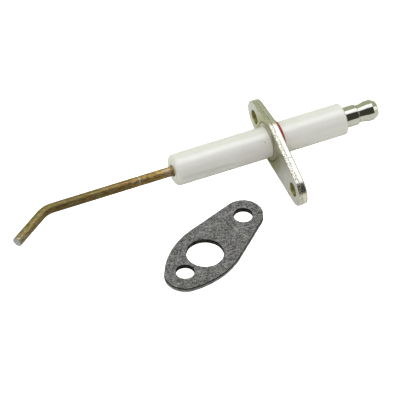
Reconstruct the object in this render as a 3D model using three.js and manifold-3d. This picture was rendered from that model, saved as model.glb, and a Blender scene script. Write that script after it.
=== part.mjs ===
// Flame sensor probe with its loose flange gasket, in millimetres, +Z up.
//
// The origin is the centre of the flange's mounting face, on the probe's axis. The axis runs along X:
// the sensing rod reaches into the flame towards -X, and the lead pushes on to the terminal at +X.
// The flange stands on its long lower edge, and the gasket lies flat at that same level, beside the rod.

import * as THREE from "three";
import { mergeVertices } from "three/addons/utils/BufferGeometryUtils.js";
import Module from "manifold-3d";

const TURN = 2 * Math.PI;

// Ceramic insulator: a plain tube with a shallow groove for the clamp ring.
const CERAMIC_R = 5.0;
const CERAMIC_NOSE_X = -31.6;
const CERAMIC_REAR_X = 25.0;
const CERAMIC_BORE_R = 1.85;
const NOSE_ROUND = 1.5;
const REAR_ROUND = 0.7;
const BORE_CHAMFER = 0.25;
const REAR_POCKET_R = 2.75;
const REAR_POCKET_DEPTH = 5.5;
const GROOVE_R = 4.7;
const GROOVE_START_X = -0.22;
const GROOVE_END_X = 0.58;

// Sensing rod: one length of heat-resistant wire, bent near its tip and threaded at its rear end.
const ROD_R = 1.55;
const ROD_TIP_CHAMFER = 0.2;
const BEND_VERTEX_X = -73.6;
const BEND_ANGLE = THREE.MathUtils.degToRad(33);
const BEND_R = 8.5;
const TIP_PAST_VERTEX = 15.2;
const SCORE_X = -42.7;
const SCORE_HALF_WIDTH = 0.28;
const SCORE_DEPTH = 0.08;
const THREAD_R = 1.45;
const THREAD_START_X = 23.0;
const THREAD_END_X = 32.9;
const THREAD_CHAMFER = 0.4;

// Cement that holds the rod in the insulator's bore.
const CEMENT_GAP = 0.06;
const FRONT_CEMENT_X = [-28.6, -20.0];
const REAR_CEMENT_LIP = 0.5;

// Flange: a teardrop plate around three centres in a line, the screw holes 10 mm and 19.6 mm from the axis.
const FLANGE_THICKNESS = 2.7;
const FLANGE_CENTRE_R = 8.0;
const FLANGE_LOBE_R = 5.2;
const SHORT_LOBE = 10.0;
const LONG_LOBE = 19.6;
const SCREW_HOLE_R = 2.3;
const FLANGE_BEVEL = 0.3;
const FLANGE_BEVEL_STEPS = 2;
const FLANGE_BORE_R = 5.35;
const RECESS_R = 6.3;
const RECESS_DEPTH = 1.1;
const CUTTER_PAST = 1.0;
// The lower long edge is level, which dips the line of the holes towards the long lobe.
const FLANGE_DIP = Math.asin((FLANGE_CENTRE_R - FLANGE_LOBE_R) / LONG_LOBE);

// Clamp ring in the flange's recess, snapped into the insulator's groove.
const CLAMP_INNER_R = 4.85;
const CLAMP_OUTER_R = 6.1;
const CLAMP_X = [-0.12, 0.48];
const CLAMP_EDGE = 0.15;

// Silicone seal behind the flange.
const SEAL_INNER_R = 5.08;
const SEAL_OUTER_R = 5.85;
const SEAL_THICKNESS = 1.4;
const SEAL_GAP = 0.04;
const SEAL_ROUND = 0.35;

// Terminal washer and the 6.35 mm snap terminal that screws on to the rod's M3 thread.
const WASHER_R = 3.55;
const WASHER_BORE_R = 1.75;
const WASHER_X = [25.05, 25.35];
const NUT_FACE_X = 25.4;
const NUT_BORE_R = 1.53;
const NUT_BORE_END_X = 33.4;
const NUT_BORE_CHAMFER = 0.35;
const NUT_BASE_R = 3.25;
const NUT_BASE_END_X = 29.4;
const NUT_GROOVE_R = 2.75;
const NUT_GROOVE_END_X = 29.7;
const NUT_NECK_R = 2.8;
const NUT_NECK_END_X = 30.9;
const NUT_EDGE = 0.15;
const SWELL_STEPS = 5;
const SNAP_R = 3.175;
const SNAP_X = 33.1;
const SNAP_SHOULDER_X = 34.8;
const SNAP_SHOULDER_R = 3.12;
const TAPER_X = 35.6;
const TAPER_R = 2.75;
const NUT_END_X = 36.2;
const NUT_END_R = 1.9;

// Gasket: two fibre facings on a thin steel core, cut a little larger than the flange.
const GASKET_HALF_WIDTH = 9.72;
const GASKET_WAIST_R = 26;
const GASKET_SHORT_R = 6.53;
const GASKET_SHORT_CENTRE = 10.76;
const GASKET_LONG_R = 6.2;
const GASKET_BORE_R = 5.75;
const GASKET_SCREW_R = 2.9;
// The holes are punched slightly askew of the outline.
const GASKET_HOLES = [
  [-0.35, 0.1, GASKET_BORE_R],
  [-10.3, 0.5, GASKET_SCREW_R],
  [19.4, -0.2, GASKET_SCREW_R],
];
const FACING_THICKNESS = 0.7;
const CORE_THICKNESS = 0.2;
const CORE_INSET = 0.15;
const GASKET_CENTRE = new THREE.Vector2(-33.4, -30.04);
const GASKET_TURN = THREE.MathUtils.degToRad(31.55);

const LATHE_SIDES = 40;
const ROD_SIDES = 32;
const ROUND_STEPS = 4;
const BEND_STEPS = 9;
const CURVE_SEGMENTS = 12;
const MERGE_DISTANCE = 1e-4;

const COLOURS = {
  rod: { color: 0x7d6a2e, roughness: 0.38, metalness: 0.9 },
  ceramic: { color: 0xeeeeea, roughness: 0.3, metalness: 0.0 },
  cement: { color: 0xb9b3a4, roughness: 0.95, metalness: 0.0 },
  flange: { color: 0xb9b7a8, roughness: 0.4, metalness: 0.9 },
  clamp: { color: 0xa3a293, roughness: 0.45, metalness: 0.9 },
  seal: { color: 0xb0180f, roughness: 0.5, metalness: 0.0 },
  terminal: { color: 0xc9c6b6, roughness: 0.15, metalness: 1.0 },
  facing: { color: 0x777773, roughness: 0.85, metalness: 0.0 },
  core: { color: 0x8d8d8a, roughness: 0.5, metalness: 0.9 },
};

const wasm = await Module();
wasm.setup();

function toSolid(geometry) {
  const bare = geometry.clone();
  bare.deleteAttribute("normal");
  bare.deleteAttribute("uv");
  const merged = mergeVertices(bare, MERGE_DISTANCE);
  return new wasm.Manifold(
    new wasm.Mesh({
      numProp: 3,
      vertProperties: merged.attributes.position.array,
      triVerts: new Uint32Array(merged.index.array),
    }),
  );
}

function toGeometry(solid) {
  const mesh = solid.getMesh();
  const geometry = new THREE.BufferGeometry();
  geometry.setAttribute("position", new THREE.BufferAttribute(mesh.vertProperties, 3));
  geometry.setIndex(new THREE.BufferAttribute(mesh.triVerts, 1));
  geometry.computeVertexNormals();
  return geometry;
}

function named(name, geometry, finish) {
  const mesh = new THREE.Mesh(geometry, new THREE.MeshStandardMaterial(COLOURS[finish]));
  mesh.name = name;
  return mesh;
}

// A turned piece from [radius, x] points. The outside is listed towards +x, and the bore back again.
function turned(points, sides = LATHE_SIDES) {
  const profile = points.map(([radius, x]) => new THREE.Vector2(radius, x));
  return new THREE.LatheGeometry(profile, sides);
}

// The points of a quarter round from one angle to another, both in quarters of a turn.
function quarter(centreR, centreX, radius, from, to) {
  return Array.from({ length: ROUND_STEPS + 1 }, (_, i) => {
    const angle = ((from + ((to - from) * i) / ROUND_STEPS) * Math.PI) / 2;
    return [centreR + radius * Math.cos(angle), centreX + radius * Math.sin(angle)];
  });
}

// Lathes turn about Y; this lays their axis along +X.
function alongX(mesh) {
  mesh.rotation.z = -Math.PI / 2;
  return mesh;
}

// A teardrop with its long lobe towards +x. Each side swells in a waist arc of radius waistR that is
// widest at x = 0, and runs straight from there to both lobes.
function teardrop(halfWidth, shortR, longR, shortCentre = SHORT_LOBE, waistR = halfWidth) {
  const waistY = halfWidth - waistR;
  const longReach = Math.hypot(LONG_LOBE, waistY);
  const shortReach = Math.hypot(shortCentre, waistY);
  const longAngle = Math.atan2(-waistY, LONG_LOBE) + Math.acos((waistR - longR) / longReach);
  const shortLean = Math.atan2(-waistY, shortCentre) + Math.acos((waistR - shortR) / shortReach);
  const shortAngle = Math.PI - shortLean;
  const shape = new THREE.Shape();
  shape.absarc(LONG_LOBE, 0, longR, -longAngle, longAngle, false);
  shape.absarc(0, waistY, waistR, longAngle, shortAngle, false);
  shape.absarc(-shortCentre, 0, shortR, shortAngle, TURN - shortAngle, false);
  shape.absarc(0, -waistY, waistR, TURN - shortAngle, TURN - longAngle, false);
  shape.closePath();
  return shape;
}

function addHole(shape, x, y, radius) {
  const hole = new THREE.Path();
  hole.absarc(x, y, radius, 0, TURN, true);
  shape.holes.push(hole);
}

function flameRod() {
  const tangent = BEND_R * Math.tan(BEND_ANGLE / 2);
  const bendStartX = BEND_VERTEX_X + tangent;
  const bendEndX = bendStartX - BEND_R * BEND_ANGLE;
  const tipX = bendEndX - (TIP_PAST_VERTEX - tangent);
  const bendStations = Array.from({ length: BEND_STEPS + 1 }, (_, i) => [
    ROD_R,
    THREE.MathUtils.lerp(bendEndX, bendStartX, i / BEND_STEPS),
  ]);
  const geometry = turned(
    [
      [0, tipX],
      [ROD_R - ROD_TIP_CHAMFER, tipX],
      [ROD_R, tipX + ROD_TIP_CHAMFER],
      ...bendStations,
      [ROD_R, SCORE_X - SCORE_HALF_WIDTH],
      [ROD_R - SCORE_DEPTH, SCORE_X - SCORE_HALF_WIDTH / 2],
      [ROD_R - SCORE_DEPTH, SCORE_X + SCORE_HALF_WIDTH / 2],
      [ROD_R, SCORE_X + SCORE_HALF_WIDTH],
      [ROD_R, THREAD_START_X],
      [THREAD_R, THREAD_START_X + ROD_R - THREAD_R],
      [THREAD_R, THREAD_END_X - THREAD_CHAMFER],
      [THREAD_R - THREAD_CHAMFER, THREAD_END_X],
      [0, THREAD_END_X],
    ],
    ROD_SIDES,
  );

  // Bend the straight rod: its local Y is the way along it, and it bends towards local +X.
  const place = geometry.attributes.position;
  for (let i = 0; i < place.count; i++) {
    const along = place.getY(i);
    if (along >= bendStartX) continue;
    const angle = Math.min((bendStartX - along) / BEND_R, BEND_ANGLE);
    const past = Math.max(bendEndX - along, 0);
    const aside = BEND_R - place.getX(i);
    place.setY(i, bendStartX - aside * Math.sin(angle) - past * Math.cos(angle));
    place.setX(i, BEND_R - aside * Math.cos(angle) + past * Math.sin(angle));
  }
  geometry.computeVertexNormals();

  // The bend lies in the plane of the axis and the flange's line of holes.
  const rod = alongX(named("flame_rod", geometry, "rod"));
  const aim = new THREE.Group();
  aim.rotation.x = FLANGE_DIP;
  aim.add(rod);
  return aim;
}

function insulator() {
  const pocketX = CERAMIC_REAR_X - REAR_POCKET_DEPTH;
  const nose = quarter(CERAMIC_R - NOSE_ROUND, CERAMIC_NOSE_X + NOSE_ROUND, NOSE_ROUND, -1, 0);
  const rear = quarter(CERAMIC_R - REAR_ROUND, CERAMIC_REAR_X - REAR_ROUND, REAR_ROUND, 0, 1);
  const chamferedR = CERAMIC_BORE_R + BORE_CHAMFER;
  const points = [
    [CERAMIC_BORE_R, CERAMIC_NOSE_X + BORE_CHAMFER],
    [chamferedR, CERAMIC_NOSE_X],
    ...nose,
    [CERAMIC_R, GROOVE_START_X],
    [GROOVE_R, GROOVE_START_X],
    [GROOVE_R, GROOVE_END_X],
    [CERAMIC_R, GROOVE_END_X],
    ...rear,
    [REAR_POCKET_R, CERAMIC_REAR_X],
    [REAR_POCKET_R, pocketX],
    [CERAMIC_BORE_R, pocketX - (REAR_POCKET_R - CERAMIC_BORE_R)],
    [CERAMIC_BORE_R, CERAMIC_NOSE_X + BORE_CHAMFER],
  ];
  return alongX(named("insulator", turned(points), "ceramic"));
}

// A plain ring with a rectangular section, from innerR to outerR and from x0 to x1.
function ring(innerR, outerR, [x0, x1]) {
  return turned([
    [innerR, x0],
    [outerR, x0],
    [outerR, x1],
    [innerR, x1],
    [innerR, x0],
  ]);
}

function cementPlugs() {
  const innerR = ROD_R + CEMENT_GAP;
  const front = ring(innerR, CERAMIC_BORE_R - CEMENT_GAP, FRONT_CEMENT_X);
  const pocketX = [CERAMIC_REAR_X - REAR_POCKET_DEPTH + CEMENT_GAP, CERAMIC_REAR_X - REAR_CEMENT_LIP];
  const rear = ring(innerR, REAR_POCKET_R - CEMENT_GAP, pocketX);
  return [
    alongX(named("front_cement", front, "cement")),
    alongX(named("rear_cement", rear, "cement")),
  ];
}

function flangePlate() {
  const outline = teardrop(FLANGE_CENTRE_R, FLANGE_LOBE_R, FLANGE_LOBE_R);
  addHole(outline, -SHORT_LOBE, 0, SCREW_HOLE_R);
  addHole(outline, LONG_LOBE, 0, SCREW_HOLE_R);
  const plate = new THREE.ExtrudeGeometry(outline, {
    depth: FLANGE_THICKNESS - 2 * FLANGE_BEVEL,
    curveSegments: CURVE_SEGMENTS,
    bevelSize: FLANGE_BEVEL,
    bevelThickness: FLANGE_BEVEL,
    bevelOffset: -FLANGE_BEVEL,
    bevelSegments: FLANGE_BEVEL_STEPS,
  }).translate(0, 0, FLANGE_BEVEL);

  // The bore and the clamp ring's recess are one turned cutter, laid along the extrusion.
  const cutter = turned([
    [0, -CUTTER_PAST],
    [RECESS_R, -CUTTER_PAST],
    [RECESS_R, RECESS_DEPTH],
    [FLANGE_BORE_R, RECESS_DEPTH],
    [FLANGE_BORE_R, FLANGE_THICKNESS + CUTTER_PAST],
    [0, FLANGE_THICKNESS + CUTTER_PAST],
  ]).rotateX(Math.PI / 2);
  const mesh = named("flange_plate", toGeometry(toSolid(plate).subtract(toSolid(cutter))), "flange");
  mesh.rotation.set(FLANGE_DIP - Math.PI / 2, Math.PI / 2, 0);
  return mesh;
}

function clampRing() {
  const [x0, x1] = CLAMP_X;
  const points = [
    [CLAMP_INNER_R, x0],
    [CLAMP_OUTER_R - CLAMP_EDGE, x0],
    [CLAMP_OUTER_R, x0 + CLAMP_EDGE],
    [CLAMP_OUTER_R, x1],
    [CLAMP_INNER_R, x1],
    [CLAMP_INNER_R, x0],
  ];
  return alongX(named("clamp_ring", turned(points), "clamp"));
}

function sealRing() {
  const x0 = FLANGE_THICKNESS + SEAL_GAP;
  const x1 = x0 + SEAL_THICKNESS;
  const points = [
    [SEAL_INNER_R, x0],
    [SEAL_OUTER_R, x0],
    ...quarter(SEAL_OUTER_R - SEAL_ROUND, x1 - SEAL_ROUND, SEAL_ROUND, 0, 1),
    [SEAL_INNER_R, x1],
    [SEAL_INNER_R, x0],
  ];
  return alongX(named("seal_ring", turned(points), "seal"));
}

function terminalNut() {
  // The snap bulb swells from the neck to its largest radius on a smooth S.
  const swelling = Array.from({ length: SWELL_STEPS + 1 }, (_, i) => {
    const share = i / SWELL_STEPS;
    const radius = THREE.MathUtils.lerp(NUT_NECK_R, SNAP_R, THREE.MathUtils.smoothstep(share, 0, 1));
    return [radius, THREE.MathUtils.lerp(NUT_NECK_END_X, SNAP_X, share)];
  });
  const points = [
    [NUT_BORE_R + NUT_BORE_CHAMFER, NUT_FACE_X],
    [NUT_BASE_R - NUT_EDGE, NUT_FACE_X],
    [NUT_BASE_R, NUT_FACE_X + NUT_EDGE],
    [NUT_BASE_R, NUT_BASE_END_X - NUT_EDGE],
    [NUT_BASE_R - NUT_EDGE, NUT_BASE_END_X],
    [NUT_GROOVE_R, NUT_BASE_END_X],
    [NUT_GROOVE_R, NUT_GROOVE_END_X],
    [NUT_NECK_R, NUT_GROOVE_END_X + NUT_EDGE],
    ...swelling,
    [SNAP_SHOULDER_R, SNAP_SHOULDER_X],
    [TAPER_R, TAPER_X],
    [NUT_END_R + NUT_EDGE, NUT_END_X - NUT_EDGE],
    [NUT_END_R, NUT_END_X],
    [0, NUT_END_X],
    [0, NUT_BORE_END_X],
    [NUT_BORE_R, NUT_BORE_END_X],
    [NUT_BORE_R, NUT_FACE_X + NUT_BORE_CHAMFER],
    [NUT_BORE_R + NUT_BORE_CHAMFER, NUT_FACE_X],
  ];
  return alongX(named("terminal_nut", turned(points), "terminal"));
}

function terminalWasher() {
  return alongX(named("terminal_washer", ring(WASHER_BORE_R, WASHER_R, WASHER_X), "clamp"));
}

// One flat layer of the gasket, its outline drawn in and its holes opened by inset.
function gasketLayer(name, z, thickness, inset, finish) {
  const outline = teardrop(
    GASKET_HALF_WIDTH - inset,
    GASKET_SHORT_R - inset,
    GASKET_LONG_R - inset,
    GASKET_SHORT_CENTRE,
    GASKET_WAIST_R - inset,
  );
  for (const [x, y, radius] of GASKET_HOLES) {
    addHole(outline, x, y, radius + inset);
  }
  const layer = new THREE.ExtrudeGeometry(outline, {
    depth: thickness,
    curveSegments: CURVE_SEGMENTS,
    bevelEnabled: false,
  });
  const mesh = named(name, layer, finish);
  mesh.position.z = z;
  return mesh;
}

function gasket() {
  const group = new THREE.Group();
  const coreZ = FACING_THICKNESS;
  const upperZ = FACING_THICKNESS + CORE_THICKNESS;
  group.add(gasketLayer("gasket_lower_facing", 0, FACING_THICKNESS, 0, "facing"));
  group.add(gasketLayer("gasket_core", coreZ, CORE_THICKNESS, CORE_INSET, "core"));
  group.add(gasketLayer("gasket_upper_facing", upperZ, FACING_THICKNESS, 0, "facing"));
  group.position.set(GASKET_CENTRE.x, GASKET_CENTRE.y, -FLANGE_CENTRE_R);
  group.rotation.z = GASKET_TURN;
  return group;
}

const probe = new THREE.Group();
probe.add(flameRod(), insulator(), ...cementPlugs());
probe.add(flangePlate(), clampRing(), sealRing());
probe.add(terminalWasher(), terminalNut());
probe.add(gasket());

export default probe;
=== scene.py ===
"""Looks of the flame sensor probe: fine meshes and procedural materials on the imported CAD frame.

Lengths are in metres, written as millimetres times MM. The probe's axis is X, with the rod's tip
towards -X and the terminal towards +X. The gasket lies on the floor beside the rod.
"""

import math

import bmesh
import bpy
import numpy as np
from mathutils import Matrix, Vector, geometry, noise


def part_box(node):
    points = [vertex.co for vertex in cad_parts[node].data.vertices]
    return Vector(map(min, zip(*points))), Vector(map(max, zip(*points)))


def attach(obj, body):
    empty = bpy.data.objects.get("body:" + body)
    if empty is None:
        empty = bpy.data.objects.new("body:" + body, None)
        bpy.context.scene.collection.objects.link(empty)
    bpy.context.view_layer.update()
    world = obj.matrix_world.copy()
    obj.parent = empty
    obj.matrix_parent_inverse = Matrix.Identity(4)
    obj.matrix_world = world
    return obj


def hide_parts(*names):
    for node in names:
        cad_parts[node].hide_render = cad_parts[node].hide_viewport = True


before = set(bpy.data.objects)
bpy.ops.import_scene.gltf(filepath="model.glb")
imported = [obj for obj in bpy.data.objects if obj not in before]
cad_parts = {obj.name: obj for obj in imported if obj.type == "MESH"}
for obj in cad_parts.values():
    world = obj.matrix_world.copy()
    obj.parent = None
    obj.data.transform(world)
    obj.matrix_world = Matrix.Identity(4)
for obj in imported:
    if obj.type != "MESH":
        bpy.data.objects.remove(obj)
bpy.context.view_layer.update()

MM = 0.001
TURN = 2 * math.pi
# noise_vector takes its offsets from the seed, which would otherwise be the clock's.
NOISE_SEED = 7

# ---------------------------------------------------------------- sizes

INSULATOR_LOW, INSULATOR_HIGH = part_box("insulator")
NOSE_X = INSULATOR_LOW.x
REAR_X = INSULATOR_HIGH.x
CERAMIC_R = INSULATOR_HIGH.z
CERAMIC_BORE_R = 1.85 * MM
NOSE_ROUND = 1.5 * MM
REAR_ROUND = 0.7 * MM
POCKET_R = 2.75 * MM
POCKET_DEPTH = 5.5 * MM
GROOVE_R = 4.7 * MM
GROOVE_X = (-0.22 * MM, 0.58 * MM)

CERAMIC_MARKS = [
    (-2.2 * MM, -3.34 * MM, 3.72 * MM, 0.22 * MM),
    (-2.9 * MM, -3.05 * MM, 3.96 * MM, 0.14 * MM),
]

ROD_R = 1.55 * MM
BEND_VERTEX_X = -73.6 * MM
BEND_ANGLE = math.radians(33)
BEND_R = 8.5 * MM
TIP_PAST_VERTEX = 15.2 * MM
TIP_EDGE = 0.2 * MM
SCORE_X = -42.7 * MM
SCORE_HALF_WIDTH = 0.28 * MM
SCORE_DEPTH = 0.08 * MM
# Where the heat tint starts, where it is scraped off at the tip, and where it fades to bare steel.
TINT_START_X = -88 * MM
SCRAPED_X = (-90 * MM, -83.5 * MM)
PALE_X = (-34.2 * MM, -32.9 * MM)
BARE_X = (-20 * MM, 15 * MM)
THREAD_R = 1.45 * MM
THREAD_DEPTH = 0.27 * MM
THREAD_PITCH = 0.5 * MM
THREAD_X = (23.2 * MM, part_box("flame_rod")[1].x)

FLANGE_LOW, FLANGE_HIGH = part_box("flange_plate")
FLANGE_THICKNESS = FLANGE_HIGH.x - FLANGE_LOW.x
FLANGE_CENTRE_R = 8.0 * MM
FLANGE_LOBE_R = 5.2 * MM
SHORT_LOBE = 10.0 * MM
LONG_LOBE = 19.6 * MM
SCREW_HOLE_R = 2.3 * MM
FLANGE_BORE_R = 5.35 * MM
RECESS_R = 6.3 * MM
RECESS_DEPTH = 1.1 * MM
STEP_LINE_Y = -13.0 * MM
# Painted reflection: the olive darkening on the flange's faces fades from the second radius to the first.
PAINTED_REFLECTION_R = (12.5 * MM, 8.8 * MM)
FLANGE_DIP = math.asin((FLANGE_CENTRE_R - FLANGE_LOBE_R) / LONG_LOBE)

GASKET_HALF_WIDTH = 9.72 * MM
GASKET_WAIST_R = 26 * MM
GASKET_SHORT_R = 6.53 * MM
GASKET_SHORT_CENTRE = 10.76 * MM
GASKET_LONG_R = 6.2 * MM
GASKET_BORE_R = 5.75 * MM
GASKET_SCREW_R = 2.9 * MM
GASKET_HOLES = [
    (-0.35 * MM, 0.1 * MM, GASKET_BORE_R),
    (-10.3 * MM, 0.5 * MM, GASKET_SCREW_R),
    (19.4 * MM, -0.2 * MM, GASKET_SCREW_R),
]
GASKET_CENTRE = (-33.4 * MM, -30.04 * MM)
GASKET_TURN = math.radians(31.55)
GASKET_NICK = (-10.6 * MM, -21.9 * MM)
GASKET_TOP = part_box("gasket_upper_facing")[1].z
GASKET_MARKS = [
    (-38.5 * MM, -22.8 * MM, 0.45 * MM),
    (-33.0 * MM, -24.0 * MM, 0.40 * MM),
    (-25.6 * MM, -18.6 * MM, 0.35 * MM),
    (-26.2 * MM, -18.1 * MM, 0.30 * MM),
    (-11.4 * MM, -21.3 * MM, 0.45 * MM),
    (-12.0 * MM, -21.1 * MM, 0.35 * MM),
    (-45.1 * MM, -40.9 * MM, 0.35 * MM),
]
NICK_R = 0.8 * MM
NICK_DEPTH = 0.4 * MM
CORE_INSET = 0.15 * MM
FLOOR_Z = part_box("gasket_lower_facing")[0].z


# ---------------------------------------------------------------- mesh tools

def finish_piece(name, verts, faces, materials, body, node, shade_angle=32, choose=None):
    """A closed mesh as a piece that rides on a body and stands for a CAD node.

    choose(normal, centre) gives the number of a face's material, where there are several.
    """
    mesh = bpy.data.meshes.new(name)
    mesh.from_pydata([tuple(v) for v in verts], [], [tuple(f) for f in faces])
    work = bmesh.new()
    work.from_mesh(mesh)
    bmesh.ops.recalc_face_normals(work, faces=work.faces)
    work.to_mesh(mesh)
    work.free()
    for material in materials:
        mesh.materials.append(material)
    if choose:
        for face in mesh.polygons:
            face.material_index = choose(face.normal, face.center)
    mesh.shade_smooth()
    mesh.set_sharp_from_angle(angle=math.radians(shade_angle))
    piece = bpy.data.objects.new(name, mesh)
    bpy.context.collection.objects.link(piece)
    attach(piece, body)
    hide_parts(node)
    return piece


def rounded(corners, closed=False, steps=6):
    """A profile through (radius, x, fillet) corners, with each fillet drawn as an arc."""
    profile = []
    count = len(corners)
    for i, (radius, x, fillet) in enumerate(corners):
        here = Vector((radius, x))
        if fillet == 0 or (not closed and i in (0, count - 1)):
            profile.append((radius, x))
            continue
        back = (Vector(corners[i - 1][:2]) - here).normalized()
        onward = (Vector(corners[(i + 1) % count][:2]) - here).normalized()
        half = back.angle(onward) / 2
        centre = here + (back + onward).normalized() * (fillet / math.sin(half))
        first = here + back * (fillet / math.tan(half)) - centre
        last = here + onward * (fillet / math.tan(half)) - centre
        start = math.atan2(first.y, first.x)
        sweep = math.remainder(math.atan2(last.y, last.x) - start, TURN)
        for k in range(steps + 1):
            angle = start + sweep * k / steps
            profile.append((centre.x + fillet * math.cos(angle), centre.y + fillet * math.sin(angle)))
    return profile


def refined(profile, step, closed=False):
    """The same profile with no stretch longer than step."""
    points = []
    ends = profile[1:] + profile[:1] if closed else profile[1:]
    for (r0, x0), (r1, x1) in zip(profile, ends):
        pieces = max(1, math.ceil(math.hypot(r1 - r0, x1 - x0) / step))
        points += [(r0 + (r1 - r0) * k / pieces, x0 + (x1 - x0) * k / pieces) for k in range(pieces)]
    return points if closed else points + [profile[-1]]


def revolved(profile, sides, closed, waver=0.0, waver_size=1.0):
    """Vertices and faces of a profile turned about X. An open profile starts and ends on the axis."""
    verts, faces, rings = [], [], []
    for radius, x in profile:
        if radius < 1e-9:
            rings.append([len(verts)] * sides)
            verts.append(Vector((x, 0, 0)))
            continue
        rings.append(range(len(verts), len(verts) + sides))
        for k in range(sides):
            angle = TURN * k / sides
            place = Vector((x, radius * math.cos(angle), radius * math.sin(angle)))
            swell = 1 + waver * (noise.noise(place / waver_size) - 1) / radius
            verts.append(Vector((x, place.y * swell, place.z * swell)))
    pairs = zip(rings, rings[1:] + rings[:1]) if closed else zip(rings, rings[1:])
    for a, b in pairs:
        for k in range(sides):
            corners = [a[k], a[(k + 1) % sides], b[(k + 1) % sides], b[k]]
            face = list(dict.fromkeys(corners))
            if len(face) > 2:
                faces.append(face)
    return verts, faces


def arc(centre_u, centre_v, radius, start, end, steps):
    """Points of an arc, its last one left out."""
    angles = [start + (end - start) * k / steps for k in range(steps)]
    return [(centre_u + radius * math.cos(a), centre_v + radius * math.sin(a)) for a in angles]


def stretch(a, b, pieces):
    """Points of a straight stretch from a, with b left out."""
    du, dv = b[0] - a[0], b[1] - a[1]
    return [(a[0] + du * k / pieces, a[1] + dv * k / pieces) for k in range(pieces)]


def teardrop(half_width, short_r, long_r, step, short_centre=SHORT_LOBE, waist_r=None):
    """A function that gives a teardrop outline, its long lobe towards +u, drawn in by an inset.

    Each side swells in a waist arc that is widest at u = 0, and runs straight to both lobes.
    """
    waist_r = waist_r or half_width
    waist_v = waist_r - half_width
    long_reach = math.hypot(LONG_LOBE, waist_v)
    short_reach = math.hypot(short_centre, waist_v)
    long_angle = math.atan2(waist_v, LONG_LOBE) + math.acos((waist_r - long_r) / long_reach)
    short_lean = math.atan2(waist_v, short_centre) + math.acos((waist_r - short_r) / short_reach)
    short_angle = math.pi - short_lean
    arcs = [
        (LONG_LOBE, 0.0, long_r, -long_angle, long_angle),
        (0.0, -waist_v, waist_r, long_angle, short_angle),
        (-short_centre, 0.0, short_r, short_angle, TURN - short_angle),
        (0.0, waist_v, waist_r, TURN - short_angle, TURN - long_angle),
    ]

    def outline(inset):
        ring = []
        for i, (u, v, radius, start, end) in enumerate(arcs):
            next_u, next_v, next_r, next_start, _ = arcs[(i + 1) % len(arcs)]
            r, next_r = radius - inset, next_r - inset
            ring += arc(u, v, r, start, end, max(3, round(radius * (end - start) / step)))
            leave = (u + r * math.cos(end), v + r * math.sin(end))
            arrive = (next_u + next_r * math.cos(next_start), next_v + next_r * math.sin(next_start))
            ring += stretch(leave, arrive, max(1, round(math.dist(leave, arrive) / step)))
        return ring

    return outline


def round_hole(u, v, radius, step):
    """A function that gives a circle, opened by an inset."""
    steps = round(TURN * radius / step)
    return lambda inset: arc(u, v, radius + inset, 0, TURN, steps)


def inside(points, ring):
    """Which of the points lie inside the closed ring, by counting crossings."""
    ring = np.array(ring)
    a, b = ring, np.roll(ring, -1, axis=0)
    x, y = points[:, :1], points[:, 1:]
    straddles = (a[:, 1] > y) != (b[:, 1] > y)
    rise = np.where(b[:, 1] == a[:, 1], 1.0, b[:, 1] - a[:, 1])
    cross = a[:, 0] + (y - a[:, 1]) * (b[:, 0] - a[:, 0]) / rise
    return ((straddles & (x < cross)).sum(axis=1) % 2) == 1


def filled(rims, cell):
    """Extra points and triangles that fill a flat face: the first rim is its outside, the rest are holes."""
    rim_points = np.array([p for rim in rims for p in rim])
    low, high = rim_points.min(axis=0), rim_points.max(axis=0)
    columns = np.arange(low[0], high[0], cell)
    rows = np.arange(low[1], high[1], cell * math.sqrt(3) / 2)
    grid = np.array([(c + (j % 2) * cell / 2, r) for j, r in enumerate(rows) for c in columns])
    kept = inside(grid, rims[0])
    for rim in rims[1:]:
        kept &= ~inside(grid, rim)
    grid = grid[kept]
    gaps = np.array([np.hypot(*(rim_points - p).T).min() for p in grid])
    grid = grid[gaps > 0.6 * cell]

    edges, first = [], 0
    for rim in rims:
        count = len(rim)
        edges += [(first + k, first + (k + 1) % count) for k in range(count)]
        first += count
    # The triangulation works in millimetres, because its tolerance suits numbers near 1.
    points = [Vector(p) / MM for p in [*rim_points.tolist(), *grid.tolist()]]
    made = geometry.delaunay_2d_cdt(points, edges, [], 0, 1e-6)
    origin = [ids[0] for ids in made[3]]
    triangles = np.array([[origin[i] for i in face] for face in made[2]])
    place = np.vstack([rim_points, grid])
    centres = place[triangles].mean(axis=1)
    kept = inside(centres, rims[0])
    for rim in rims[1:]:
        kept &= ~inside(centres, rim)
    return grid, triangles[kept]


def plate(loops, cell):
    """A plate in (u, v, depth), as vertices and faces.

    Each loop is (outline, profile): outline(inset) gives a ring of points, and profile lists
    (inset, depth) from the front face to the back. The first loop is the outside.
    """
    verts, faces, ends = [], [], ([], [])
    for outline, profile in loops:
        rings = []
        for inset, depth in profile:
            ring = outline(inset)
            rings.append(range(len(verts), len(verts) + len(ring)))
            verts += [Vector((u, v, depth)) for u, v in ring]
        for a, b in zip(rings, rings[1:]):
            count = len(a)
            faces += [(a[k], a[(k + 1) % count], b[(k + 1) % count], b[k]) for k in range(count)]
        ends[0].append(rings[0])
        ends[1].append(rings[-1])
    for rims in ends:
        depth = verts[rims[0][0]].z
        points, triangles = filled([[tuple(verts[i].xy) for i in rim] for rim in rims], cell)
        index = [i for rim in rims for i in rim]
        index += range(len(verts), len(verts) + len(points))
        verts += [Vector((u, v, depth)) for u, v in points]
        faces += [tuple(index[i] for i in triangle) for triangle in triangles]
    return verts, faces


def clamped(verts, *nodes):
    """The vertices kept inside the box of these CAD nodes."""
    boxes = [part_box(node) for node in nodes]
    low = [min(b[0][i] for b in boxes) for i in range(3)]
    high = [max(b[1][i] for b in boxes) for i in range(3)]
    return [Vector(min(max(v[i], low[i]), high[i]) for i in range(3)) for v in verts]


# ---------------------------------------------------------------- material tools

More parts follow.
